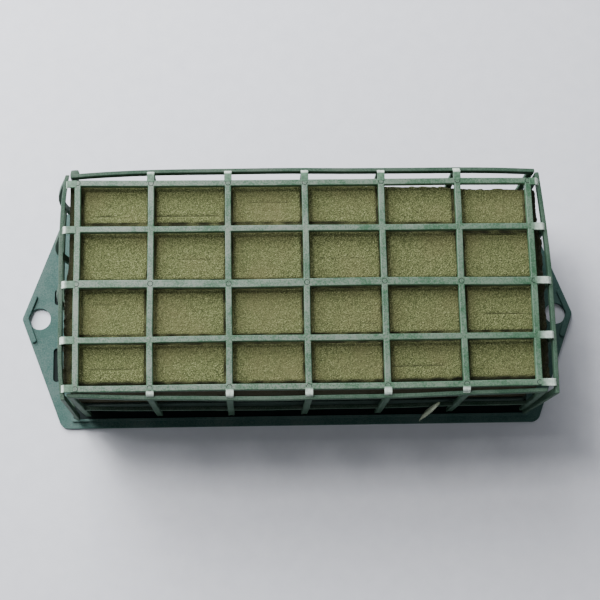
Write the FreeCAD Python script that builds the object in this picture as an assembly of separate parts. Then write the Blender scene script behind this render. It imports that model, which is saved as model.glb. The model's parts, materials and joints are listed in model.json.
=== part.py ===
import FreeCAD, Part
import math
import os

# Floral foam brick held in a moulded cage on a hanging tray. Millimetres, +Z up.
# The origin is on the surface the tray stands on, under the middle of the tray.
# The long side runs along X, the front is at -Y.

# Foam brick
foam_length = 230.0
foam_width = 96.0
foam_height = 74.5

# Tray plate and its two pointed hanging tabs
plate_thickness = 2.2
plate_width = 117.6
corner_to_corner = 252.0
overall_length = 296.0
floor_length = 243.0
corner_radius = 4.5
tip_radius = 3.0
hole_spacing = 277.8
hole_diameter = 11.5
slot_distance = 129.4
slot_width = 3.6
slot_spans = ((36.5, 46.0), (7.5, 16.0), (-34.0, -16.0))
tab_rib_width = 2.9
tab_rib_height = 1.5
tab_rib_reach = 14.5
tab_rib_edge_gap = 0.5

# Upright walls of the tray, and the low rim outside the cage
tray_wall_thickness = 0.9
tray_wall_top = 22.0
foam_side_gap = 0.25
foam_floor_gap = 0.2
rim_length = 242.4
rim_width = 110.6
rim_thickness = 1.2
rim_height = 1.5

# Top grid of the cage
grid_top = 82.5
bar_thickness = 3.0
bar_width = 2.8
centre_bar_width = 3.8
column_pitch = 37.35
end_column_pitch = 35.0
row_pitch = 26.9
end_row_pitch = 23.2

# Straps from the grid to the hinge lines of the four side panels
strap_width = 3.6
strap_thickness = 1.6
strap_gap = 0.5
hinge_height = 81.0
front_hinge_distance = 54.3
back_hinge_distance = 56.0
left_hinge_distance = 116.4
right_hinge_distance = 117.0

# Side panels, which hang from the hinge lines
panel_thickness = 2.0
panel_top_gap = 0.3
panel_bottom = 5.6
upper_bar_height = 4.0
post_width = 3.2
middle_bar_height = 2.4
middle_bar_thickness = 1.6
middle_bar_level = 32.0
side_panel_half_length = 113.6
end_panel_half_length = 55.0
side_panel_lean = 2.2
prong_width = 1.1
prong_thickness = 1.4
prong_length = 1.6

columns = [-2 * column_pitch - end_column_pitch, -2 * column_pitch, -column_pitch, 0.0,
           column_pitch, 2 * column_pitch, 2 * column_pitch + end_column_pitch]
rows = [-row_pitch - end_row_pitch, -row_pitch, 0.0, row_pitch, row_pitch + end_row_pitch]
column_names = ["left_end", "left_outer", "left_inner", "centre", "right_inner", "right_outer",
                "right_end"]
row_names = ["front", "front_inner", "centre", "back_inner", "back"]


def vector(x, y, z):
    return FreeCAD.Vector(x, y, z)


def block(x_low, x_high, y_low, y_high, z_low, z_high):
    """A box given by its lowest and highest coordinate on each axis."""
    return Part.makeBox(x_high - x_low, y_high - y_low, z_high - z_low, vector(x_low, y_low, z_low))


def save(node, solids):
    """Write one node: a single solid, or several that stay separate."""
    shape = solids[0] if len(solids) == 1 else Part.makeCompound(solids)
    shape.exportStep("parts/" + node + ".step")
    print(node, len(solids), round(sum(solid.Volume for solid in solids), 1))


def mirrored_in_x(solid):
    return solid.mirror(vector(0, 0, 0), vector(1, 0, 0))


def mirrored_in_y(solid):
    return solid.mirror(vector(0, 0, 0), vector(0, 1, 0))


# ---- tray ----

def rounded_outline(points, radii):
    """A closed wire through the points, with each corner rounded to its radius."""
    count = len(points)
    ends = []
    for index, point in enumerate(points):
        before = (points[index - 1] - point).normalize()
        after = (points[(index + 1) % count] - point).normalize()
        half_angle = before.getAngle(after) / 2
        cut = radii[index] / math.tan(half_angle)
        to_centre = (before + after).normalize()
        centre = point + to_centre * (radii[index] / math.sin(half_angle))
        ends.append((point + before * cut, centre - to_centre * radii[index], point + after * cut))
    edges = []
    for index, (start, middle, end) in enumerate(ends):
        edges.append(Part.Arc(start, middle, end).toShape())
        edges.append(Part.LineSegment(end, ends[(index + 1) % count][0]).toShape())
    return Part.Wire(edges)


def tray_outline():
    half_width = plate_width / 2
    corner = corner_to_corner / 2
    tip = overall_length / 2 + tip_overshoot()
    points = [vector(-corner, -half_width, 0), vector(corner, -half_width, 0), vector(tip, 0, 0),
              vector(corner, half_width, 0), vector(-corner, half_width, 0), vector(-tip, 0, 0)]
    radii = [corner_radius, corner_radius, tip_radius, corner_radius, corner_radius, tip_radius]
    return rounded_outline(points, radii)


def tip_overshoot():
    """How far the sharp corner of a tab lies beyond its rounded tip."""
    run = (overall_length - corner_to_corner) / 2
    half_angle = math.atan2(plate_width / 2, run)
    return tip_radius / math.sin(half_angle) - tip_radius


def tray_plate():
    plate = Part.Face(tray_outline()).extrude(vector(0, 0, plate_thickness))
    for side in (-1, 1):
        hole = Part.makeCylinder(hole_diameter / 2, plate_thickness, vector(side * hole_spacing / 2, 0, 0))
        plate = plate.cut(hole)
        for low, high in slot_spans:
            plate = plate.cut(slot(side * slot_distance, low, high))
    return plate


def slot(x, low, high):
    """A slot with round ends, cut through the plate and running along Y."""
    radius = slot_width / 2
    middle = block(x - radius, x + radius, low + radius, high - radius, 0, plate_thickness)
    ends = [Part.makeCylinder(radius, plate_thickness, vector(x, y, 0)) for y in (low + radius, high - radius)]
    return middle.multiFuse(ends)


def split_plate(plate):
    """The plate's middle, and the tab beyond each end of it."""
    reach = overall_length
    half_floor = floor_length / 2
    middle = plate.common(block(-half_floor, half_floor, -reach, reach, 0, plate_thickness))
    left = plate.common(block(-reach, -half_floor, -reach, reach, 0, plate_thickness))
    right = plate.common(block(half_floor, reach, -reach, reach, 0, plate_thickness))
    return middle.Solids[0], left.Solids[0], right.Solids[0]


def tab_rib_arms():
    """The raised V that follows the two edges of the right tab, as two arms that meet at the tip."""
    run = (overall_length - corner_to_corner) / 2 + tip_overshoot()
    edge = vector(-run, plate_width / 2, 0).normalize()
    inward = vector(-edge.y, edge.x, 0)
    tip = vector(overall_length / 2 + tip_overshoot(), 0, plate_thickness)
    outer = tip + inward * tab_rib_edge_gap
    outer_tip = vector(tip.x - tab_rib_edge_gap / abs(inward.x), 0, plate_thickness)
    inner_tip = vector(tip.x - (tab_rib_edge_gap + tab_rib_width) / abs(inward.x), 0, plate_thickness)
    outer_end = outer + edge * tab_rib_reach
    inner_end = outer_end + inward * tab_rib_width
    blunt = vector(outer_tip.x - tip_radius / 2, 0, plate_thickness)
    shoulder = outer + edge * (tip_radius / 2)
    corners = [blunt, shoulder, outer_end, inner_end, inner_tip, blunt]
    arm = Part.Face(Part.makePolygon(corners)).extrude(vector(0, 0, tab_rib_height))
    return [arm, mirrored_in_y(arm)]


def tray_walls():
    """The four upright walls that hold the foot of the foam."""
    inner_x = foam_length / 2 + foam_side_gap
    inner_y = foam_width / 2 + foam_side_gap
    outer_x = inner_x + tray_wall_thickness
    outer_y = inner_y + tray_wall_thickness
    low = plate_thickness
    return {"front_tray_wall": block(-outer_x, outer_x, -outer_y, -inner_y, low, tray_wall_top),
            "back_tray_wall": block(-outer_x, outer_x, inner_y, outer_y, low, tray_wall_top),
            "left_tray_wall": block(-outer_x, -inner_x, -inner_y, inner_y, low, tray_wall_top),
            "right_tray_wall": block(inner_x, outer_x, -inner_y, inner_y, low, tray_wall_top)}


def locating_rim():
    """The low rim round the feet of the cage, as four straight runs."""
    x = rim_length / 2
    y = rim_width / 2
    low = plate_thickness
    high = plate_thickness + rim_height
    return [block(-x, x, -y, -y + rim_thickness, low, high),
            block(-x, x, y - rim_thickness, y, low, high),
            block(-x, -x + rim_thickness, -y + rim_thickness, y - rim_thickness, low, high),
            block(x - rim_thickness, x, -y + rim_thickness, y - rim_thickness, low, high)]


# ---- foam ----

def foam_brick():
    low = plate_thickness + foam_floor_gap
    return block(-foam_length / 2, foam_length / 2, -foam_width / 2, foam_width / 2, low, low + foam_height)


# ---- top grid ----

def row_width(row):
    return centre_bar_width if row == 0 else bar_width


def long_bar(row):
    half_length = columns[-1] + bar_width / 2
    half_width = row_width(row) / 2
    return block(-half_length, half_length, row - half_width, row + half_width,
                 grid_top - bar_thickness, grid_top)


def cross_bar(column):
    """The pieces of one cross bar, each between two neighbouring long bars."""
    pieces = []
    for low_row, high_row in zip(rows, rows[1:]):
        pieces.append(block(column - bar_width / 2, column + bar_width / 2,
                            low_row + row_width(low_row) / 2, high_row - row_width(high_row) / 2,
                            grid_top - bar_thickness, grid_top))
    return pieces


def end_straps(hinge_distance):
    """Straps from the grid's right edge out to a hinge line at that distance."""
    start = columns[-1] + bar_width / 2
    end = hinge_distance - strap_gap
    return [block(start, end, row - strap_width / 2, row + strap_width / 2,
                  grid_top - strap_thickness, grid_top) for row in rows_on_edge()]


def rows_on_edge():
    """The row positions, with the outer straps kept within the grid's corners."""
    limit = rows[-1] + bar_width / 2 - strap_width / 2
    return [max(-limit, min(limit, row)) for row in rows]


def side_straps(hinge_distance):
    """Straps from the grid's back edge out to a hinge line at that distance."""
    start = rows[-1] + bar_width / 2
    end = hinge_distance - strap_gap
    return [block(column - strap_width / 2, column + strap_width / 2, start, end,
                  grid_top - strap_thickness, grid_top) for column in columns[1:-1]]


# ---- side panels ----
# Each panel is drawn hanging from a hinge line along X at the origin, with its outside towards -Y,
# and is then leaned, turned and moved to its own hinge line.

def upper_bar(half_length):
    return [block(-half_length, half_length, -panel_thickness, 0,
                  -panel_top_gap - upper_bar_height, -panel_top_gap)]


def posts(positions):
    top = -panel_top_gap - upper_bar_height
    return [block(place - post_width / 2, place + post_width / 2, -panel_thickness, 0,
                  panel_bottom - hinge_height, top) for place in positions]


def middle_bar(positions):
    """The middle bar's pieces, each between two neighbouring posts."""
    level = middle_bar_level - hinge_height
    inset = (panel_thickness - middle_bar_thickness) / 2
    return [block(low + post_width / 2, high - post_width / 2, -panel_thickness + inset, -inset,
                  level - middle_bar_height / 2, level + middle_bar_height / 2)
            for low, high in zip(positions, positions[1:])]


def snap_feet(positions):
    """Two short prongs under each post that stands between the end posts."""
    pieces = []
    inset = (panel_thickness - prong_thickness) / 2
    foot = panel_bottom - hinge_height
    for place in positions[1:-1]:
        for low in (place - post_width / 2, place + post_width / 2 - prong_width):
            pieces.append(block(low, low + prong_width, -panel_thickness + inset, -inset,
                                foot - prong_length, foot))
    return pieces


def hang_panel(solids, distance, lean, turn):
    """Lean a panel's foot inwards, move it out to its hinge line and turn it to its side."""
    placed = []
    for solid in solids:
        moved = solid.copy()
        moved.rotate(vector(0, 0, 0), vector(1, 0, 0), lean)
        moved.translate(vector(0, -distance, hinge_height))
        moved.rotate(vector(0, 0, 0), vector(0, 0, 1), turn)
        placed.append(moved)
    return placed


def save_panel(name, half_length, inner_positions, distance, lean, turn):
    end_post = half_length - post_width / 2
    positions = [-end_post] + inner_positions + [end_post]
    pieces = {"upper_bar": upper_bar(half_length), "posts": posts(positions),
              "middle_bar": middle_bar(positions), "snap_feet": snap_feet(positions)}
    for part_name, solids in pieces.items():
        save(name + "_panel_" + part_name, hang_panel(solids, distance, lean, turn))


def main():
    os.makedirs("parts", exist_ok=True)

    floor, left_tab, right_tab = split_plate(tray_plate())
    save("tray_floor", [floor])
    save("left_hanging_tab", [left_tab])
    save("right_hanging_tab", [right_tab])
    save("right_tab_rib", tab_rib_arms())
    save("left_tab_rib", [mirrored_in_x(arm) for arm in tab_rib_arms()])
    for name, wall in tray_walls().items():
        save(name, [wall])
    save("cage_locating_rim", locating_rim())

    save("foam_brick", [foam_brick()])

    for name, row in zip(row_names, rows):
        save("grid_long_bar_" + name, [long_bar(row)])
    for name, column in zip(column_names, columns):
        save("grid_cross_bar_" + name, cross_bar(column))
    save("front_hinge_straps", [mirrored_in_y(strap) for strap in side_straps(front_hinge_distance)])
    save("back_hinge_straps", side_straps(back_hinge_distance))
    save("left_hinge_straps", [mirrored_in_x(strap) for strap in end_straps(left_hinge_distance)])
    save("right_hinge_straps", end_straps(right_hinge_distance))

    inner_columns = columns[1:-1]
    inner_rows = rows[1:-1]
    save_panel("front", side_panel_half_length, inner_columns, front_hinge_distance, side_panel_lean, 0)
    save_panel("right", end_panel_half_length, inner_rows, right_hinge_distance, 0, 90)
    save_panel("back", side_panel_half_length, inner_columns, back_hinge_distance, side_panel_lean, 180)
    save_panel("left", end_panel_half_length, inner_rows, left_hinge_distance, 0, -90)


main()
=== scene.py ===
import json
import math
import bpy
import bmesh
from mathutils import Matrix, Vector, noise


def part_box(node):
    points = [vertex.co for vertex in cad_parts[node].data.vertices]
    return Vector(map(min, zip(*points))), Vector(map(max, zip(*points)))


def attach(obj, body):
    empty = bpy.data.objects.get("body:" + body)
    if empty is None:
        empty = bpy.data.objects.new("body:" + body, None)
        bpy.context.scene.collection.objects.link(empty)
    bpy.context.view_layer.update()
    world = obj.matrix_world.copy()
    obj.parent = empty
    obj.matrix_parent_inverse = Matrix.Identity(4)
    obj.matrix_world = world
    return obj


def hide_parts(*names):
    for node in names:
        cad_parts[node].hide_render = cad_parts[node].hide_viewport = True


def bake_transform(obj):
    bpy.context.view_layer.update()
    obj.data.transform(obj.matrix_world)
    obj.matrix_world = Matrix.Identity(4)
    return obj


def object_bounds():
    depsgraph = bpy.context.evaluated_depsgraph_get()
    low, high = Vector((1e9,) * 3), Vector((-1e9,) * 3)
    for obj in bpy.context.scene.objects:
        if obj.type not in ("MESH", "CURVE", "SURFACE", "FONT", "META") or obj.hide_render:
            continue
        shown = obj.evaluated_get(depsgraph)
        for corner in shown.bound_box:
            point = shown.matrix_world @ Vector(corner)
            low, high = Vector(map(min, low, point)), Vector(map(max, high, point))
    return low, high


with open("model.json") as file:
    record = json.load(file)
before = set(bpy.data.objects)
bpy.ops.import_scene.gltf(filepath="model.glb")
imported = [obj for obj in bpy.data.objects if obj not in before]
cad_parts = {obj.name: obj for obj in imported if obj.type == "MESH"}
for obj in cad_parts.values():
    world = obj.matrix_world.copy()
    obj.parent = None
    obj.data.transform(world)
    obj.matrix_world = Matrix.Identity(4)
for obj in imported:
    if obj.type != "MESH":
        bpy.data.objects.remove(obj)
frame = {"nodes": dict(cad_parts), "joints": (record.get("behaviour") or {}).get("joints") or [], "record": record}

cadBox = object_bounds()
mm = 0.001


# helpers

def span(node, axis):
    low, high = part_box(node)
    return low[axis], high[axis]


def middle(node, axis):
    return sum(span(node, axis)) / 2


def newPiece(name, shape, materials, smooth=True):
    mesh = bpy.data.meshes.new(name)
    shape.to_mesh(mesh)
    shape.free()
    piece = bpy.data.objects.new(name, mesh)
    bpy.context.scene.collection.objects.link(piece)
    for material in materials:
        mesh.materials.append(material)
    for face in mesh.polygons:
        face.use_smooth = smooth
    return piece


def smoothStep(value, low, high):
    share = min(max((value - low) / (high - low), 0), 1)
    return share * share * (3 - 2 * share)


def wave(x, seed, size):
    # slow sideways wander along a bar, roughly between -1 and 1
    return noise.noise(Vector((x / size, seed * 7.3, seed * 1.7))) * 1.6


def roundEdges(shape, size, segments=2, sharper=30):
    limit = math.radians(sharper)
    edges = [e for e in shape.edges if len(e.link_faces) == 2 and e.calc_face_angle(0) > limit]
    bmesh.ops.bevel(shape, geom=edges, offset=size, segments=segments, profile=0.5, affect="EDGES",
                    material=-1, clamp_overlap=True)


def latticeSheet(cutsX, cutsY, isSolid):
    # a flat sheet cut at these places, with the open cells taken out
    shape = bmesh.new()
    countX, countY = len(cutsX) - 1, len(cutsY) - 1
    bmesh.ops.create_grid(shape, x_segments=countX, y_segments=countY, size=1)
    for vert in shape.verts:
        column = round((vert.co.x + 1) / 2 * countX)
        row = round((vert.co.y + 1) / 2 * countY)
        vert.co = (cutsX[column], cutsY[row], 0)
    openCells = [f for f in shape.faces if not isSolid(*f.calc_center_median().xy)]
    bmesh.ops.delete(shape, geom=openCells, context="FACES")
    return shape


def thicken(shape, depth):
    raised = bmesh.ops.extrude_face_region(shape, geom=shape.faces[:])
    moved = [g for g in raised["geom"] if isinstance(g, bmesh.types.BMVert)]
    bmesh.ops.translate(shape, verts=moved, vec=(0, 0, depth))
    bmesh.ops.recalc_face_normals(shape, faces=shape.faces[:])


def cutsBetween(edges, step):
    # every edge in the list, and enough cuts between them that none are further apart than step
    cuts = []
    for low, high in zip(edges, edges[1:]):
        count = max(1, math.ceil((high - low) / step))
        cuts += [low + (high - low) * i / count for i in range(count)]
    return cuts + [edges[-1]]


# places taken from the frame

columns = [middle("grid_cross_bar_" + n, 0) for n in
           ("left_end", "left_outer", "left_inner", "centre", "right_inner", "right_outer", "right_end")]
rows = [middle("grid_long_bar_" + n, 1) for n in ("front", "front_inner", "centre", "back_inner", "back")]
gridLow, gridHigh = span("grid_long_bar_front", 2)
hinges = {j["child"]: j["pos_m"] for j in frame["joints"] if j["type"] == "hinge"}
print("frame read")


# materials

def nodeMaker(material):
    tree = material.node_tree

    def make(kind, inputs=None, **settings):
        node = tree.nodes.new(kind)
        for key, value in settings.items():
            setattr(node, key, value)
        for key, value in (inputs or {}).items():
            if isinstance(value, bpy.types.NodeSocket):
                tree.links.new(value, node.inputs[key])
            else:
                node.inputs[key].default_value = value
        return node
    return make


def newMaterial(name):
    material = bpy.data.materials.new(name)
    material.use_nodes = True
    material.node_tree.nodes.clear()
    return material, nodeMaker(material)


def ramp(make, fac, stops):
    node = make("ShaderNodeValToRGB", {"Fac": fac})
    bar = node.color_ramp
    for stop in stops[1:-1]:
        bar.elements.new(stop[0])
    for element, (place, colour) in zip(bar.elements, stops):
        element.position = place
        element.color = (*colour, 1)
    return node


plasticLooks = {
    "trayPlastic": {"dark": (0.030, 0.083, 0.071), "light": (0.050, 0.118, 0.102), "edge": (0.13, 0.20, 0.18),
                    "dust": (0.115, 0.135, 0.127), "dusty": 0.45, "rough": 0.6, "grain": 0.12, "gloss": 0.2},
    "gridPlastic": {"dark": (0.028, 0.086, 0.043), "light": (0.074, 0.152, 0.092), "edge": (0.24, 0.34, 0.26),
                    "dust": (0.205, 0.200, 0.185), "dusty": 0.62, "rough": 0.4, "grain": 0.25, "gloss": 0.42},
    "panelPlasticShaded": {"dark": (0.026, 0.060, 0.038), "light": (0.056, 0.104, 0.070),
                     "edge": (0.17, 0.24, 0.19), "dust": (0.105, 0.11, 0.10), "dusty": 0.5, "rough": 0.6,
                     "grain": 0.25, "gloss": 0.12},
}


def plastic(name, looks):
    material, make = newMaterial(name)
    place = make("ShaderNodeTexCoord").outputs["Object"]
    cloud = make("ShaderNodeTexNoise", {"Vector": place, "Scale": 60.0, "Detail": 5.0, "Roughness": 0.65})
    speck = make("ShaderNodeTexNoise", {"Vector": place, "Scale": 1500.0, "Detail": 2.0, "Roughness": 0.6})
    mixed = make("ShaderNodeMath", {0: cloud.outputs["Fac"], 1: speck.outputs["Fac"]}, operation="ADD")
    halved = make("ShaderNodeMath", {0: mixed.outputs[0], 1: 0.5}, operation="MULTIPLY")
    colour = ramp(make, halved.outputs[0], [(0.41, looks["dark"]), (0.59, looks["light"])])
    # faces that look up carry a film of pale dust, faded towards the right end as painted light
    facing = make("ShaderNodeTexCoord").outputs["Normal"]
    upward = make("ShaderNodeSeparateXYZ", {"Vector": facing}).outputs["Z"]
    settled = make("ShaderNodeMapRange", {"Value": upward, "From Min": 0.80, "From Max": 0.98})
    patchy = make("ShaderNodeMapRange", {"Value": halved.outputs[0], "From Min": 0.42, "From Max": 0.60,
                                         "To Max": looks["dusty"]})
    # painted light: less of the pale film towards the right end, standing in for the sheen of the light from the
    # left
    along = make("ShaderNodeSeparateXYZ", {"Vector": place}).outputs["X"]
    lightFade = make("ShaderNodeMapRange", {"Value": along, "From Min": 0.0, "From Max": 0.11, "To Min": 1.0,
                                           "To Max": 0.45})
    film = make("ShaderNodeMath", {0: settled.outputs["Result"], 1: lightFade.outputs["Result"]},
                operation="MULTIPLY")
    dustAndLightShare = make("ShaderNodeMath", {0: film.outputs[0], 1: patchy.outputs["Result"]},
                     operation="MULTIPLY")
    dustedAndLit = make("ShaderNodeMix", {"Factor": dustAndLightShare.outputs[0], "A": colour.outputs["Color"],
                                    "B": (*looks["dust"], 1)}, data_type="RGBA")
    # sharp edges are painted paler, partly rubbed wear and partly painted highlight along the edges
    sharp = make("ShaderNodeNewGeometry").outputs["Pointiness"]
    worn = make("ShaderNodeMapRange", {"Value": sharp, "From Min": 0.54, "From Max": 0.8, "To Max": 0.4})
    edgeWearAndHighlight = make("ShaderNodeMath", {0: worn.outputs["Result"], 1: cloud.outputs["Fac"]},
                     operation="MULTIPLY")
    edged = make("ShaderNodeMix", {"Factor": edgeWearAndHighlight.outputs[0], "A": dustedAndLit.outputs["Result"],
                                   "B": (*looks["edge"], 1)}, data_type="RGBA")
    rough = make("ShaderNodeMapRange", {"Value": speck.outputs["Fac"], "From Min": 0.3, "From Max": 0.7,
                                        "To Min": looks["rough"] - 0.06, "To Max": looks["rough"] + 0.1})
    bump = make("ShaderNodeBump", {"Height": speck.outputs["Fac"], "Strength": looks["grain"],
                                   "Distance": 0.0002})
    shader = make("ShaderNodeBsdfPrincipled", {"Base Color": edged.outputs["Result"],
                                               "Roughness": rough.outputs["Result"],
                                               "Specular IOR Level": looks["gloss"],
                                               "Normal": bump.outputs["Normal"]})
    make("ShaderNodeOutputMaterial", {"Surface": shader.outputs["BSDF"]})
    return material


foamLooks = {"hollow": (0.038, 0.045, 0.016), "low": (0.090, 0.105, 0.041), "mid": (0.133, 0.148, 0.059),
             "high": (0.27, 0.285, 0.14), "tint": (0.145, 0.131, 0.062), "skinAndShade": (0.024, 0.021, 0.013),
             "scarAndShade": (0.020, 0.021, 0.010)}


def foamMaterial():
    material, make = newMaterial("floralFoam")
    place = make("ShaderNodeTexCoord").outputs["Object"]
    grain = make("ShaderNodeTexNoise", {"Vector": place, "Scale": 2300.0, "Detail": 2.0, "Roughness": 0.6})
    pores = make("ShaderNodeTexVoronoi", {"Vector": place, "Scale": 1500.0})
    patch = make("ShaderNodeTexNoise", {"Vector": place, "Scale": 28.0, "Detail": 5.0, "Roughness": 0.6})
    colour = ramp(make, grain.outputs["Fac"], [(0.34, foamLooks["hollow"]), (0.44, foamLooks["low"]),
                                               (0.54, foamLooks["mid"]), (0.69, foamLooks["high"])])
    tintShare = make("ShaderNodeMapRange", {"Value": patch.outputs["Fac"], "From Min": 0.45, "From Max": 0.72,
                                            "To Max": 0.55})
    tinted = make("ShaderNodeMix", {"Factor": tintShare.outputs["Result"], "A": colour.outputs["Color"],
                                    "B": (*foamLooks["tint"], 1)}, data_type="RGBA")
    # the cut sides are darker than the top, partly their darker skin and partly painted shade on faces turned away
    # from the light; the knife lines are darker too
    facing = make("ShaderNodeTexCoord").outputs["Normal"]
    upward = make("ShaderNodeSeparateXYZ", {"Vector": facing}).outputs["Z"]
    skinAndShadeShare = make("ShaderNodeMapRange", {"Value": upward, "From Min": 0.93, "From Max": 0.45,
                                            "To Max": 0.85})
    skinnedAndShaded = make("ShaderNodeMix", {"Factor": skinAndShadeShare.outputs["Result"], "A": tinted.outputs["Result"],
                                     "B": (*foamLooks["skinAndShade"], 1)}, data_type="RGBA")
    # the dark mix marks the knife lines, and paints shade beside the bars and on the crumbled ends
    scarAndShade = make("ShaderNodeAttribute", attribute_name="scarAndShade").outputs["Fac"]
    scarred = make("ShaderNodeMix", {"Factor": scarAndShade, "A": skinnedAndShaded.outputs["Result"],
                                     "B": (*foamLooks["scarAndShade"], 1)}, data_type="RGBA")
    height = make("ShaderNodeMath", {0: grain.outputs["Fac"], 1: pores.outputs["Distance"]}, operation="ADD")
    bump = make("ShaderNodeBump", {"Height": height.outputs[0], "Strength": 0.8, "Distance": 0.0005})
    shader = make("ShaderNodeBsdfPrincipled", {"Base Color": scarred.outputs["Result"], "Roughness": 0.95,
                                               "Specular IOR Level": 0.15, "Normal": bump.outputs["Normal"]})
    make("ShaderNodeOutputMaterial", {"Surface": shader.outputs["BSDF"]})
    return material


def filmMaterial():
    # the cage plastic, blanched white where the fold has stressed it
    material, make = newMaterial("stressedPlastic")
    place = make("ShaderNodeTexCoord").outputs["Object"]
    share = make("ShaderNodeAttribute", attribute_name="blanch").outputs["Fac"]
    fleck = make("ShaderNodeTexNoise", {"Vector": place, "Scale": 700.0, "Detail": 3.0})
    looks = plasticLooks["gridPlastic"]
    colour = ramp(make, fleck.outputs["Fac"], [(0.36, looks["dark"]), (0.64, looks["light"])])
    pale = ramp(make, fleck.outputs["Fac"], [(0.3, (0.34, 0.43, 0.36)), (0.7, (0.60, 0.68, 0.60))])
    mixed = make("ShaderNodeMix", {"Factor": share, "A": colour.outputs["Color"], "B": pale.outputs["Color"]},
                 data_type="RGBA")
    bump = make("ShaderNodeBump", {"Height": fleck.outputs["Fac"], "Strength": 0.2, "Distance": 0.0002})
    shader = make("ShaderNodeBsdfPrincipled", {"Base Color": mixed.outputs["Result"], "Roughness": 0.5,
                                               "Normal": bump.outputs["Normal"]})
    make("ShaderNodeOutputMaterial", {"Surface": shader.outputs["BSDF"]})
    return material


trayPlastic = plastic("trayPlastic", plasticLooks["trayPlastic"])
gridPlastic = plastic("gridPlastic", plasticLooks["gridPlastic"])
# painted shade: the side panels get a darker copy of the grid plastic, because they stand mostly in shade
panelPlasticShaded = plastic("panelPlasticShaded", plasticLooks["panelPlasticShaded"])
# painted light: the sliver is made much paler than the panel plastic, standing in for light on and through the
# thin blade
sliverPlasticLit = plastic("sliverPlasticLit", {**plasticLooks["panelPlasticShaded"], "dark": (0.26, 0.31, 0.20),
                                          "light": (0.62, 0.68, 0.50), "dusty": 0})
# painted shade: a near-black plastic, used for the slot films, the tray channel and the ejector rings
paintedShadePlastic = plastic("paintedShadePlastic", {**plasticLooks["trayPlastic"], "dark": (0.004, 0.008, 0.008),
                                  "light": (0.008, 0.014, 0.014), "edge": (0.01, 0.015, 0.015), "dusty": 0,
                                  "gloss": 0.1})
# painted shade: a darker copy of the tray plastic for the tray walls, which stand in the cage's shade
wallPlasticShaded = plastic("wallPlasticShaded", {**plasticLooks["trayPlastic"], "dark": (0.014, 0.032, 0.024),
                                      "light": (0.026, 0.050, 0.038), "edge": (0.05, 0.08, 0.065)})
floralFoam = foamMaterial()
stressedPlastic = filmMaterial()
print("materials ready")


# tray

tray = {"edgeRound": 0.3 * mm, "cornerReach": 126 * mm, "cornerRound": 4.5 * mm, "tipOverrun": 0.2 * mm,
        "tipRound": 3 * mm, "ribRound": 1.3 * mm, "ribTipRound": 2.6 * mm, "ribHollowRound": 0.8 * mm,
        "ribEdge": 0.45 * mm, "ribInset": 0.5 * mm, "ribWidth": 2.9 * mm, "ribReach": 14.5 * mm,
        "slotWidth": 3.6 * mm, "slotDistance": 129.4 * mm, "slotSpans": ((36.5, 46), (7.5, 16), (-34, -16)),
        "cutterDepth": 20 * mm, "filmRoom": 0.3 * mm, "filmLow": 0.1 * mm, "filmDepth": 0.9 * mm,
        "overlap": 0.1 * mm, "wallCorner": 1.2 * mm, "channelInset": 1.1 * mm, "channelDepth": 0.16 * mm}


def roundedPlan(points, radii, segments=6):
    # a flat face with these corners, each bevelled round
    shape = bmesh.new()
    verts = [shape.verts.new((x, y, 0)) for x, y in points]
    shape.faces.new(verts)
    for vert, radius in zip(verts, radii):
        before, after = [(e.other_vert(vert).co - vert.co).normalized() for e in vert.link_edges]
        cut = radius / math.tan(before.angle(after) / 2)
        bmesh.ops.bevel(shape, geom=[vert], offset=cut, segments=segments, profile=0.5, affect="VERTICES",
                        material=-1)
    return shape


def trayPlate():
    halfWidth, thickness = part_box("tray_floor")[1].yz
    corner = tray["cornerReach"]
    tip = cadBox[1].x + tray["tipOverrun"]
    points = [(-corner, -halfWidth), (corner, -halfWidth), (tip, 0), (corner, halfWidth),
              (-corner, halfWidth), (-tip, 0)]
    shape = roundedPlan(points, [tray["cornerRound"], tray["cornerRound"], tray["tipRound"]] * 2)
    thicken(shape, thickness)
    plate = newPiece("trayPlate", shape, [trayPlastic], smooth=False)
    cutters = []
    for mount in frame["record"]["mounts"]:
        if mount["kind"] == "bore":
            cutter = bmesh.new()
            radius = mount["dims"]["r_mm"] * mm
            bmesh.ops.create_cone(cutter, cap_ends=True, segments=64, radius1=radius, radius2=radius,
                                  depth=tray["cutterDepth"], matrix=Matrix.Translation(mount["pos_m"]))
            cutters.append(newPiece("cutter", cutter, []))
    for side in (-1, 1):
        for low, high in tray["slotSpans"]:
            cutter = slotPlan(side, low, high, 0)
            bmesh.ops.translate(cutter, verts=cutter.verts[:], vec=(0, 0, -tray["cutterDepth"] / 2))
            thicken(cutter, tray["cutterDepth"])
            cutters.append(newPiece("cutter", cutter, []))
    for cutter in cutters:
        cut = plate.modifiers.new("cut", "BOOLEAN")
        cut.object = cutter
        cut.solver = "EXACT"
    cutPlate = plate.evaluated_get(bpy.context.evaluated_depsgraph_get())
    finished = bpy.data.meshes.new_from_object(cutPlate)
    plate.modifiers.clear()
    plate.data = finished
    for cutter in cutters:
        bpy.data.objects.remove(cutter)
    finishMesh(plate, tray["edgeRound"], 2)
    paintedSlotShade()
    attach(plate, "base")
    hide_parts("tray_floor", "left_hanging_tab", "right_hanging_tab")


def slotPlan(side, low, high, room):
    # one slot's outline, grown by this much room all round
    x = side * tray["slotDistance"]
    half = tray["slotWidth"] / 2 + room
    start, end = low * mm - room, high * mm + room
    corners = [(x - half, start), (x + half, start), (x + half, end), (x - half, end)]
    return roundedPlan(corners, [half * 0.95] * 4)


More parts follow.
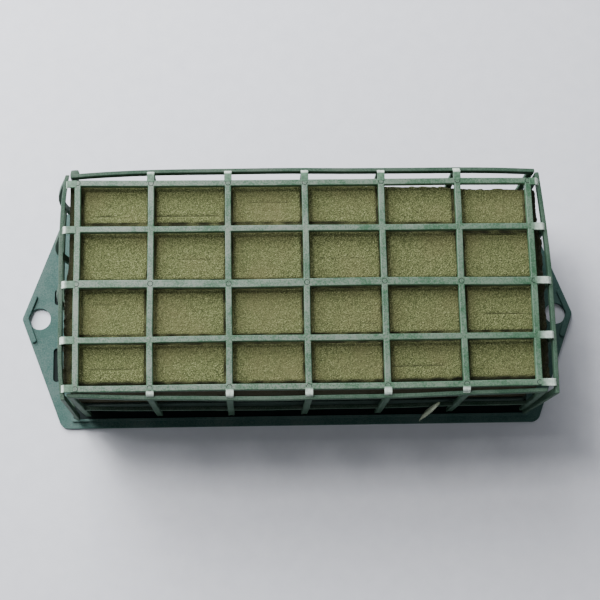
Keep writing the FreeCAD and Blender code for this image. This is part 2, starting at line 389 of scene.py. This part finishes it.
def paintedSlotShade():
    # painted shade: a dark film closes each slot just above the table, so the slots read as dark pockets
    shape = bmesh.new()
    for side in (-1, 1):
        for low, high in tray["slotSpans"]:
            film = slotPlan(side, low, high, tray["filmRoom"])
            mesh = bpy.data.meshes.new("film")
            film.to_mesh(mesh)
            shape.from_mesh(mesh)
            film.free()
            bpy.data.meshes.remove(mesh)
    bmesh.ops.translate(shape, verts=shape.verts[:], vec=(0, 0, tray["filmLow"]))
    thicken(shape, tray["filmDepth"])
    films = newPiece("slotShadeFilms", shape, [paintedShadePlastic], smooth=False)
    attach(films, "base")


def finishMesh(piece, size, segments):
    # rounds a cut mesh's sharp edges
    shape = bmesh.new()
    shape.from_mesh(piece.data)
    bmesh.ops.remove_doubles(shape, verts=shape.verts[:], dist=0.01 * mm)
    bmesh.ops.dissolve_limit(shape, angle_limit=math.radians(1), verts=shape.verts[:], edges=shape.edges[:])
    bmesh.ops.recalc_face_normals(shape, faces=shape.faces[:])
    roundEdges(shape, size, segments)
    shape.to_mesh(piece.data)
    shape.free()
    for face in piece.data.polygons:
        face.use_smooth = False


def trayRib(side, node, name):
    # the raised V at a tab's tip; side is -1 for the left tab
    low, high = span(node, 2)
    halfWidth = span("tray_floor", 1)[1]
    tip = cadBox[1].x + tray["tipOverrun"]
    edge = Vector((tray["cornerReach"] - tip, halfWidth)).normalized()
    inward = Vector((-edge.y, edge.x))
    outer = Vector((tip, 0)) + inward * tray["ribInset"]
    outerEnd = outer + edge * tray["ribReach"]
    innerEnd = outerEnd + inward * tray["ribWidth"]
    outerTip = tip - tray["ribInset"] / abs(inward.x)
    innerTip = tip - (tray["ribInset"] + tray["ribWidth"]) / abs(inward.x)
    half = [(outerTip, 0), tuple(outerEnd), tuple(innerEnd), (innerTip, 0), (innerEnd.x, -innerEnd.y),
            (outerEnd.x, -outerEnd.y)]
    shape = roundedPlan([(side * x, y) for x, y in half],
                        [tray["ribTipRound"], tray["ribRound"], tray["ribRound"], tray["ribHollowRound"],
                         tray["ribRound"], tray["ribRound"]], 5)
    bmesh.ops.translate(shape, verts=shape.verts[:], vec=(0, 0, low - tray["overlap"]))
    thicken(shape, high - low + tray["overlap"])
    roundEdges(shape, tray["ribEdge"], 3)
    rib = newPiece(name, shape, [trayPlastic], smooth=False)
    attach(rib, "base")
    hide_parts(node)


def trayWalls():
    # one ring of wall round the foot of the foam, and the low rim round the cage's feet
    walls = ("front_tray_wall", "back_tray_wall", "left_tray_wall", "right_tray_wall")
    for name, nodes, thickness, rounding, material in (
            # the wall ring takes the darker, shaded copy of the tray plastic
            ("trayWallRing", walls, 0.9, 0.3, wallPlasticShaded),
            ("cageLocatingRim", ("cage_locating_rim",), 1.2, 0.35, trayPlastic)):
        boxes = [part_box(n) for n in nodes]
        x = max(b[1].x for b in boxes)
        y = max(b[1].y for b in boxes)
        low = min(b[0].z for b in boxes) - tray["overlap"]
        high = max(b[1].z for b in boxes)
        wall = thickness * mm
        shape = latticeSheet([-x, -x + wall, x - wall, x], [-y, -y + wall, y - wall, y],
                             lambda px, py: abs(px) > x - wall or abs(py) > y - wall)
        bmesh.ops.translate(shape, verts=shape.verts[:], vec=(0, 0, low))
        thicken(shape, high - low)
        uprights = [e for e in shape.edges if abs(e.verts[0].co.z - e.verts[1].co.z) > 0.5 * mm
                    and e.calc_face_angle(0) > 1]
        bmesh.ops.bevel(shape, geom=uprights, offset=tray["wallCorner"], segments=4, profile=0.5,
                        affect="EDGES", material=-1)
        roundEdges(shape, rounding * mm, 2, 60)
        ring = newPiece(name, shape, [material], smooth=False)
        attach(ring, "base")
        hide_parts(*nodes)


def trayChannelShade():
    # painted shade: a dark sheet over the channel between the wall and the rim, which lies in deep shade
    wall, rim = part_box("front_tray_wall"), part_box("cage_locating_rim")
    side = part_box("right_tray_wall")
    inX, inY = side[1].x - tray["overlap"], -wall[0].y - tray["overlap"]
    outX, outY = rim[1].x - tray["channelInset"], rim[1].y - tray["channelInset"]
    shape = latticeSheet([-outX, -inX, inX, outX], [-outY, -inY, inY, outY],
                         lambda x, y: abs(x) > inX or abs(y) > inY)
    bmesh.ops.translate(shape, verts=shape.verts[:], vec=(0, 0, rim[0].z - tray["overlap"]))
    thicken(shape, tray["channelDepth"])
    channel = newPiece("trayChannelShade", shape, [paintedShadePlastic], smooth=False)
    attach(channel, "base")


trayPlate()
trayChannelShade()
trayRib(-1, "left_tab_rib", "leftTabRib")
trayRib(1, "right_tab_rib", "rightTabRib")
trayWalls()
print("tray ready")


# foam

foam = {"cell": 1.1 * mm, "sideCell": 1.7 * mm, "edgeWear": 1.5 * mm, "grain": 0.07 * mm,
        "pitDepth": 0.2 * mm, "scarDepth": 0.4 * mm, "hollows": 0.3 * mm, "knifeHalf": 0.35,
        "barShadeHalf": 0.15, "endStart": 110.6 * mm, "endWorn": 112.0 * mm, "wornDepth": 25 * mm}
# knife lines across the top: (distance from the middle, (start, end, strength), ...), all in mm
knifeLines = ((33.2, (-103, -91, 1.0), (-76, -40, 0.9)), (24.6, (87, 104, 1.0)), (-9.0, (-104, -88, 0.5)),
              (-40.6, (-104, -80, 0.6), (38, 66, 0.7)), (12.4, (4, 30, 0.4), (-62, -44, 0.5)),
              (-15.6, (83, 105, 0.8)), (39.6, (-30, -6, 0.5)), (-19.4, (20, 34, 0.4)))


def scarAt(x, y):
    # how strongly a knife line marks this place on the top, 0 to 1, fading over 3 mm at its ends
    for row, *marks in knifeLines:
        if abs(y - row * mm) < 0.02 * mm:
            for start, end, share in marks:
                if start * mm < x < end * mm:
                    return share * min(1, (x / mm - start) / 3, (end - x / mm) / 3)
    return 0


# how far beyond the middle of a bar the foam under it is dented and painted dark as shade, on the two sides, in mm
barShadeSpan = {"column": (-2.3, 2.1), "row": (-1.9, 3.3)}


def barShadeAt(x, y):
    # the bars have bitten a little into the top of the block; uneven lines beside each bar are painted dark as
    # their shade
    nearColumn = any(barShadeSpan["column"][0] < (x - c) / mm < barShadeSpan["column"][1] for c in columns)
    nearRow = any(barShadeSpan["row"][0] < (y - r) / mm < barShadeSpan["row"][1] for r in rows)
    if not (nearColumn or nearRow):
        return 0
    return min(1, max(0, 0.8 + 0.6 * noise.noise(Vector((x, y, 0)) * 190)))


def foamBrick():
    low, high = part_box("foam_brick")
    halfX, halfY = high.x, high.y
    knife, bite = foam["knifeHalf"], foam["barShadeHalf"]
    cutsX = [c / mm + side + gap for c in columns[1:-1] for side in barShadeSpan["column"] for gap in (-bite, bite)]
    cutsY = [row + gap for row, *marks in knifeLines for gap in (-knife, 0, knife)]
    cutsY += [r / mm + side + gap for r in rows[1:-1] for side in barShadeSpan["row"] for gap in (-bite, bite)]
    edgesX = [-halfX] + [cut * mm for cut in sorted(cutsX)] + [halfX]
    edgesY = [-halfY] + [cut * mm for cut in sorted(cutsY)] + [halfY]
    shape = latticeSheet(cutsBetween(edgesX, foam["cell"]), cutsBetween(edgesY, foam["cell"]),
                         lambda x, y: True)
    bmesh.ops.translate(shape, verts=shape.verts[:], vec=(0, 0, high.z))
    depth = high.z - low.z
    steps = round(depth / foam["sideCell"])
    border = [e for e in shape.edges if e.is_boundary]
    for step in range(steps):
        grown = bmesh.ops.extrude_edge_only(shape, edges=border)["geom"]
        newVerts = [g for g in grown if isinstance(g, bmesh.types.BMVert)]
        border = [g for g in grown if isinstance(g, bmesh.types.BMEdge) and g.is_boundary]
        bmesh.ops.translate(shape, verts=newVerts, vec=(0, 0, -depth / steps))
    bmesh.ops.holes_fill(shape, edges=border, sides=0)
    bmesh.ops.recalc_face_normals(shape, faces=shape.faces[:])
    layer = shape.verts.layers.float.new("scarAndShade")
    for vert in shape.verts:
        if vert.co.z > high.z - 0.01 * mm:
            # painted shade: the crumbled ends, which lie in shade, are painted dark
            endShade = 0.92 * smoothStep(abs(vert.co.x), foam["endStart"], foam["endWorn"])
            vert[layer] = max(scarAt(vert.co.x, vert.co.y), endShade, barShadeAt(vert.co.x, vert.co.y))
        roughen(vert, vert[layer], halfX, halfY, low.z, high.z)
    brick = newPiece("foamBlock", shape, [floralFoam])
    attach(brick, "foam")
    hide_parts("foam_brick")


def foamOutline(x, y, z):
    # above the tray wall each side stands in (+) or out (-) of its plane by this much
    lift = smoothStep(z, 24 * mm, 58 * mm)
    left = 0.7 * smoothStep(y, -2 * mm, 12 * mm) - 1.3 * (1 - smoothStep(y, -2 * mm, 12 * mm))
    right = 0.3 - 1.9 * (1 - smoothStep(y, 20 * mm, 32 * mm))
    back = -2.4 + 1.0 * smoothStep(x, 10 * mm, 50 * mm) + 1.6 * smoothStep(x, 60 * mm, 90 * mm)
    front = 0.5 * smoothStep(-x, 30 * mm, 100 * mm) + 0.9 * smoothStep(x, 20 * mm, 100 * mm)
    return (left if x < 0 else right) * lift * mm, (back if y > 0 else front) * lift * mm


def roughen(vert, scarAndShade, halfX, halfY, lowZ, highZ):
    # crept outline, crumbled edges, open grain and knife lines
    x, y, z = vert.co
    insetX, insetY = foamOutline(x, y, z)
    fromX, fromY, fromTop = halfX - abs(x), halfY - abs(y), highZ - z
    near = sorted((fromX, fromY, fromTop, z - lowZ))
    wear = foam["edgeWear"]
    coarse = noise.fractal(Vector((x, y, z)) * 260, 0.8, 2.2, 4)
    fine = noise.noise(Vector((x, y, z)) * 1700)
    edge = max(0, 1 - near[1] / wear)
    bite = max(0, edge * edge * (0.5 + 0.9 * coarse)) * mm
    out = Vector((math.copysign(1, x) if fromX < wear else 0, math.copysign(1, y) if fromY < wear else 0,
                  1 if fromTop < wear else 0))
    if out.length > 0:
        vert.co -= out.normalized() * bite
    flat = Vector((0, 0, 1)) if fromTop < 0.01 * mm else out
    vert.co -= flat * (0.5 + 0.5 * fine) * foam["grain"]
    vert.co -= flat * max(0, coarse - 0.3) * foam["pitDepth"]
    vert.co.x -= insetX * x / halfX
    vert.co.y -= insetY * y / halfY
    # both ends are crumbled away towards the end panels, most at the right and at the front of the left
    nearTop = smoothStep(z, highZ - foam["wornDepth"], highZ)
    if x > 0:
        worn = 3.0 * smoothStep(vert.co.x, 111.4 * mm, 117.2 * mm)
    else:
        worn = 2.2 * smoothStep(-vert.co.x, 112.4 * mm, 116.6 * mm)
    vert.co.z -= worn * nearTop * (0.85 + 0.5 * coarse + 0.2 * fine) * mm
    if fromTop < 0.01 * mm:
        vert.co.z -= scarAndShade * foam["scarDepth"] * (1 if abs(x) < foam["endStart"] else 0)
        vert.co.z -= foam["hollows"] * (0.5 + 0.5 * noise.noise(Vector((x, y, 3)) * 22))


foamBrick()
print("foam ready")


# cage, top grid

grid = {"barWidth": 3.0 * mm, "centreWidth": 3.9 * mm, "edgeRound": 0.42 * mm, "step": 9 * mm,
        "wander": 0.32 * mm, "sag": 0.1 * mm}


def rowWidth(index):
    return grid["centreWidth"] if index == 2 else grid["barWidth"]


def gridSway(co):
    # each bar wanders a little, as a moulding does when it cools
    x, y = co.x, co.y
    co.y += grid["wander"] * wave(x, round(y / (12 * mm)), 70 * mm)
    co.x += grid["wander"] * wave(y, 20 + round(x / (18 * mm)), 60 * mm)
    co.z -= grid["sag"] * (1 + 2 * abs(wave(x + y, 40, 60 * mm)))


def topGrid():
    halfBar = grid["barWidth"] / 2
    edgesX = sorted(c + s * halfBar for c in columns for s in (-1, 1))
    edgesY = sorted(r + s * rowWidth(i) / 2 for i, r in enumerate(rows) for s in (-1, 1))

    def isSolid(x, y):
        onColumn = any(abs(x - c) < halfBar for c in columns)
        onRow = any(abs(y - r) < rowWidth(i) / 2 for i, r in enumerate(rows))
        return onColumn or onRow

    shape = latticeSheet(cutsBetween(edgesX, grid["step"]), cutsBetween(edgesY, grid["step"]), isSolid)
    bmesh.ops.translate(shape, verts=shape.verts[:], vec=(0, 0, gridHigh))
    thicken(shape, gridLow - gridHigh)
    roundEdges(shape, grid["edgeRound"], 3)
    for vert in shape.verts:
        gridSway(vert.co)
    lattice = newPiece("cageTopGrid", shape, [gridPlastic], smooth=False)
    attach(lattice, "cage_top")
    nodes = [n for n in frame["nodes"] if n.startswith("grid_")]
    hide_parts(*nodes)


def ejectorMarks():
    # the round marks that the mould's ejector pins leave at some crossings: a disc, with a dark ring round it
    # painted as the shade of the groove at its rim
    for name, radius, height, material in (("ejectorShadeRings", 1.35 * mm, 0.03 * mm, paintedShadePlastic),
                                           ("ejectorDiscs", 1.08 * mm, 0.06 * mm, gridPlastic)):
        shape = bmesh.new()
        for column in columns:
            for row in (rows[0], rows[2], rows[4]):
                spot = Vector((column, row, 0))
                gridSway(spot)
                spot.z += gridHigh
                bmesh.ops.create_cone(shape, cap_ends=True, segments=24, radius1=radius, radius2=radius,
                                      depth=2 * height, matrix=Matrix.Translation(spot))
        marks = newPiece(name, shape, [material], smooth=False)
        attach(marks, "cage_top")


topGrid()
ejectorMarks()
print("top grid ready")


# cage, side panels
# A panel is drawn with u along its hinge line, v up and w out, then leaned and turned to its side.

panel = {"postWidth": 3.2 * mm, "barHeight": 4.0 * mm, "topGap": 0.3 * mm, "thickness": 2.0 * mm,
         "middleHeight": 2.4 * mm, "prongWidth": 1.1 * mm, "edgeRound": 0.4 * mm, "step": 8 * mm,
         "wander": 0.3 * mm, "reach": 77 * mm, "splayStart": -38 * mm, "splay": 0.033, "bulge": 6.8 * mm,
         "bulgeSpan": (-30 * mm, 14 * mm)}
# bow: how far the ends of the top bar are drawn in; mark: how wide the white stress mark on each strap is
panelLooks = {
    "front": {"turn": 0, "places": columns[1:-1], "lean": 2.2, "bow": (2.4, 2.2), "power": 2.2, "mark": 2.4},
    "right": {"turn": 90, "places": rows[1:-1], "lean": 0, "bow": (0.0, 3.3), "power": 1.7, "mark": 3.5},
    "back": {"turn": 180, "places": columns[1:-1], "lean": 2.2, "bow": (1.3, 2.8), "power": 4, "mark": 1.0},
    "left": {"turn": -90, "places": rows[1:-1], "lean": 0, "bow": (2.5, 2.1), "power": 4, "mark": 1.3},
}


def panelSize(side):
    low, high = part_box(side + "_panel_upper_bar")
    return max(high.x - low.x, high.y - low.y) / 2


toFront = Matrix(((1, 0, 0, 0), (0, 0, -1, 0), (0, 1, 0, 0), (0, 0, 0, 1)))  # u, v, w to the front's axes


def panelPlace(side):
    # from u, v, w to the object's frame
    looks = panelLooks[side]
    x, y, z = hinges[side + "_panel"]
    distance = max(abs(x), abs(y))
    return (Matrix.Rotation(math.radians(looks["turn"]), 4, "Z") @ Matrix.Translation((0, -distance, z))
            @ Matrix.Rotation(math.radians(looks["lean"]), 4, "X") @ toFront)


def panelBend(side, co, half, depth):
    # co is u, v, w; the top bar's ends are drawn in and the foot stays on the tray
    looks = panelLooks[side]
    u, v, w = co
    footShare = min(1, max(0, -v / depth))
    ends = looks["bow"][0] if u < 0 else looks["bow"][1]
    drawn = ends * mm * abs(u / half) ** looks["power"]
    co.z -= drawn * (1 - footShare * 0.9)
    seed = 60 + looks["turn"] / 90
    co.z += panel["wander"] * wave(u, seed, 50 * mm)
    co.y += panel["wander"] * 0.8 * wave(u + 0.3, seed + 9, 55 * mm) * (1 - footShare)
    co.x += panel["wander"] * wave(v, seed + round(u / (17 * mm)), 30 * mm) * footShare
    if side == "front":
        # its posts splay towards the right end
        co.x += footShare * max(0, u - panel["splayStart"]) * panel["splay"]
    if side == "left":
        # its back half bulges outwards half way down
        share = smoothStep(-u, *panel["bulgeSpan"])
        co.z += panel["bulge"] * share * math.sin(math.pi * footShare) ** 1.2
    return co


def sidePanel(side):
    looks = panelLooks[side]
    half = panelSize(side)
    places = [-half + panel["postWidth"] / 2] + list(looks["places"]) + [half - panel["postWidth"] / 2]
    hingeZ = hinges[side + "_panel"][2]
    top = -panel["topGap"]
    barLow = top - panel["barHeight"]
    middleLevel = middle(side + "_panel_middle_bar", 2) - hingeZ
    foot = span(side + "_panel_posts", 2)[0] - hingeZ
    toe = span(side + "_panel_snap_feet", 2)[0] - hingeZ
    middleLow, middleHigh = middleLevel - panel["middleHeight"] / 2, middleLevel + panel["middleHeight"] / 2
    halfPost = panel["postWidth"] / 2
    offsets = (-halfPost, -halfPost + panel["prongWidth"], halfPost - panel["prongWidth"], halfPost)
    edgesU = sorted(p + o for p in places for o in offsets)
    edgesV = [toe, foot, middleLow, middleHigh, barLow, top]

    def isSolid(u, v):
        onPost = any(abs(u - p) < halfPost for p in places)
        if v < foot:
            return any(abs(abs(u - p) - halfPost + panel["prongWidth"] / 2) < panel["prongWidth"] / 2
                       for p in places[1:-1])
        return onPost or v > barLow or middleLow < v < middleHigh

    shape = latticeSheet(cutsBetween(edgesU, panel["step"]), cutsBetween(edgesV, panel["step"]), isSolid)
    thicken(shape, panel["thickness"])
    roundEdges(shape, panel["edgeRound"], 2)
    for vert in shape.verts:
        panelBend(side, vert.co, half, -toe)
    bmesh.ops.transform(shape, matrix=panelPlace(side), verts=shape.verts[:])
    piece = newPiece(side + "PanelLattice", shape, [panelPlasticShaded], smooth=False)
    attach(piece, side + "_panel")
    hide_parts(*[side + "_panel_" + n for n in ("upper_bar", "posts", "middle_bar", "snap_feet")])


strap = {"width": 3.6 * mm, "lap": 1.0 * mm, "edgeRound": 0.2 * mm, "foldStart": 1.6 * mm,
         "foldEnd": 1.0 * mm}


def strapProfile(start, reach, top, hingeZ, thickness):
    # a strip along the strap: (outward reach, height of its top, thickness)
    return [(start, top, thickness), (reach - 2.2 * mm, top - 0.1 * mm, thickness),
            (reach - 1.3 * mm, top - 0.2 * mm, 0.9 * mm), (reach - 0.6 * mm, top - 0.25 * mm, 0.55 * mm),
            (reach + 0.1 * mm, top - 0.6 * mm, 0.5 * mm), (reach + 0.7 * mm, hingeZ - 0.25 * mm, 0.5 * mm),
            (reach + 1.5 * mm, hingeZ - 0.55 * mm, 0.6 * mm)]


def joinRings(shape, rings):
    # faces between each ring of four points and the next, and over the two ends
    for ringA, ringB in zip(rings, rings[1:]):
        for i in range(4):
            shape.faces.new((ringA[i], ringA[(i + 1) % 4], ringB[(i + 1) % 4], ringB[i]))
    shape.faces.new(rings[0])
    shape.faces.new(rings[-1])


def hingeStraps(side):
    # straps from the grid, each thinning to a film that folds over the hinge line on to the panel
    looks = panelLooks[side]
    node = side + "_hinge_straps"
    half = panelSize(side)
    low, high = span(node, 2)
    hinge = hinges[side + "_panel"]
    acrossX = side in ("left", "right")
    places = rows if acrossX else columns[1:-1]
    distance = max(abs(hinge[0]), abs(hinge[1]))
    start = (columns[-1] if acrossX else rows[-1]) + grid["barWidth"] / 2 - strap["lap"]
    halfStrap = strap["width"] / 2
    shape = bmesh.new()
    for place in places:
        limit = places[-1] + grid["barWidth"] / 2 - halfStrap if acrossX else 1
        at = max(-limit, min(limit, place))
        turnedAt = {"front": at, "right": at, "back": -at, "left": -at}[side]
        drawn = Vector((turnedAt, 0, 0))
        panelBend(side, drawn, half, panel["reach"])
        rings = []
        for out, top, depth in strapProfile(start, distance + drawn.z, high, hinge[2], high - low):
            under = top - depth
            corners = ((-halfStrap, top), (halfStrap, top), (halfStrap, under), (-halfStrap, under))
            rings.append([shape.verts.new((turnedAt + across, z, out)) for across, z in corners])
        joinRings(shape, rings)
    layer = shape.verts.layers.float.new("blanch")
    bmesh.ops.recalc_face_normals(shape, faces=shape.faces[:])
    creases = [e for e in shape.edges if e.calc_face_angle(0) > 1]
    bmesh.ops.bevel(shape, geom=creases, offset=strap["edgeRound"], segments=2, profile=0.5,
                    affect="EDGES", material=-1)
    for vert in shape.verts:
        out = vert.co.z / mm - distance / mm
        vert[layer] = smoothStep(out, -looks["mark"] - 0.35, -looks["mark"] + 0.1)
    toRow = Matrix.Rotation(math.radians(looks["turn"]), 4, "Z") @ toFront
    bmesh.ops.transform(shape, matrix=toRow, verts=shape.verts[:])
    bmesh.ops.recalc_face_normals(shape, faces=shape.faces[:])
    straps = newPiece(side + "HingeStraps", shape, [stressedPlastic], smooth=False)
    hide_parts(node)
    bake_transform(straps)


boss = {"length": 4.6 * mm, "overhang": 0.2 * mm, "low": -5.2 * mm, "high": -0.4 * mm,
        "inner": 1.2 * mm, "outer": 4.1 * mm, "taper": (0.9 * mm, -0.5 * mm), "edgeRound": 0.45 * mm}


def cornerBoss():
    # the thick block on the outside of the back panel's left end, narrower at its outer face
    half = panelSize("back")
    low = Vector((half - boss["length"], boss["low"], boss["inner"]))
    high = Vector((half + boss["overhang"], boss["high"], boss["outer"]))
    centre = (low + high) / 2
    shape = bmesh.new()
    bmesh.ops.create_cube(shape, size=1)
    for vert in shape.verts:
        vert.co = [low[i] + (high[i] - low[i]) * (vert.co[i] + 0.5) for i in range(3)]
        if vert.co.z > centre.z:
            vert.co.x += boss["taper"][0] if vert.co.x < centre.x else boss["taper"][1]
    roundEdges(shape, boss["edgeRound"], 2)
    for vert in shape.verts:
        panelBend("back", vert.co, half, panel["reach"])
    bmesh.ops.transform(shape, matrix=panelPlace("back"), verts=shape.verts[:])
    bmesh.ops.recalc_face_normals(shape, faces=shape.faces[:])
    block = newPiece("backPanelBoss", shape, [panelPlasticShaded])
    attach(block, "back_panel")


# the sliver's middle line from top to tip and its width at each point, both in mm
sliver = {"line": ((65.6, -54.9, 54), (64.9, -55.2, 46), (63.9, -55.9, 32), (62.6, -56.9, 18),
                   (61.4, -58.2, 9)),
          "widths": (0.8, 2.0, 2.8, 2.2, 0.3), "across": (0.76, -0.65, 0), "through": (0, -0.3, 0.12)}


def plasticSliver():
    # a blade of flash that hangs from the front panel's middle bar to the tray's edge
    shape = bmesh.new()
    through = Vector(sliver["through"]) * mm
    rings = []
    for point, width in zip(sliver["line"], sliver["widths"]):
        place = Vector(point) * mm
        across = Vector(sliver["across"]) * width * mm / 2
        rings.append([shape.verts.new(place + across * a + through * b) for a, b in
                      ((-1, 0), (0, 1), (1, 0), (0, -0.5))])
    joinRings(shape, rings)
    bmesh.ops.recalc_face_normals(shape, faces=shape.faces[:])
    blade = newPiece("plasticSliver", shape, [sliverPlasticLit])
    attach(blade, "front_panel")


for side in panelLooks:
    sidePanel(side)
    hingeStraps(side)
cornerBoss()
plasticSliver()
print("side panels ready")


# camera, lights and floor

cameraSetup = {"place": (-0.03206, -0.14178, 0.6863), "turn": (12.463, -2.447, -1.174), "lens": 77.9}
lightSetup = {
    "key": {"place": (-0.42, 0.31, 1.04), "size": 0.26, "watts": 8.5, "colour": (1.0, 1.0, 1.0)},
    "backWindow": {"place": (-0.42, 0.92, 0.84), "size": 0.9, "watts": 21.0, "colour": (0.96, 0.98, 1.0)},
    "sideWindow": {"place": (-0.68, 0.44, 0.46), "size": 0.8, "watts": 10.5, "colour": (0.98, 0.99, 1.0)},
}


def makeCamera():
    data = bpy.data.cameras.new("studioCamera")
    data.lens = cameraSetup["lens"]
    data.sensor_width = 36
    data.clip_start = 0.01
    data.clip_end = 20
    camera = bpy.data.objects.new("studioCamera", data)
    camera.location = cameraSetup["place"]
    camera.rotation_euler = [math.radians(a) for a in cameraSetup["turn"]]
    bpy.context.scene.collection.objects.link(camera)
    bpy.context.scene.camera = camera


def makeLights():
    for name, facts in lightSetup.items():
        data = bpy.data.lights.new(name, "AREA")
        data.shape = "DISK"
        data.size = facts["size"]
        data.energy = facts["watts"]
        data.color = facts["colour"]
        light = bpy.data.objects.new(name, data)
        light.location = facts["place"]
        aim = Vector((0, 0, 0.04)) - light.location
        light.rotation_euler = aim.to_track_quat("-Z", "Y").to_euler()
        bpy.context.scene.collection.objects.link(light)
    world = bpy.data.worlds.new("studioWorld")
    world.use_nodes = True
    world.node_tree.nodes["Background"].inputs["Color"].default_value = (0.9, 0.925, 0.97, 1)
    world.node_tree.nodes["Background"].inputs["Strength"].default_value = 0.27
    bpy.context.scene.world = world


def makeFloor():
    shape = bmesh.new()
    bmesh.ops.create_grid(shape, x_segments=1, y_segments=1, size=3)
    paper, make = newMaterial("palePaper")
    place = make("ShaderNodeTexCoord").outputs["Object"]
    fibre = make("ShaderNodeTexNoise", {"Vector": place, "Scale": 120.0, "Detail": 5.0})
    colour = ramp(make, fibre.outputs["Fac"], [(0.3, (0.700, 0.710, 0.765)), (0.7, (0.740, 0.750, 0.802))])
    shader = make("ShaderNodeBsdfPrincipled", {"Base Color": colour.outputs["Color"], "Roughness": 0.75})
    make("ShaderNodeOutputMaterial", {"Surface": shader.outputs["BSDF"]})
    floor = newPiece("floor", shape, [paper], smooth=False)


makeCamera()
makeLights()
makeFloor()
print("camera, lights and floor ready")
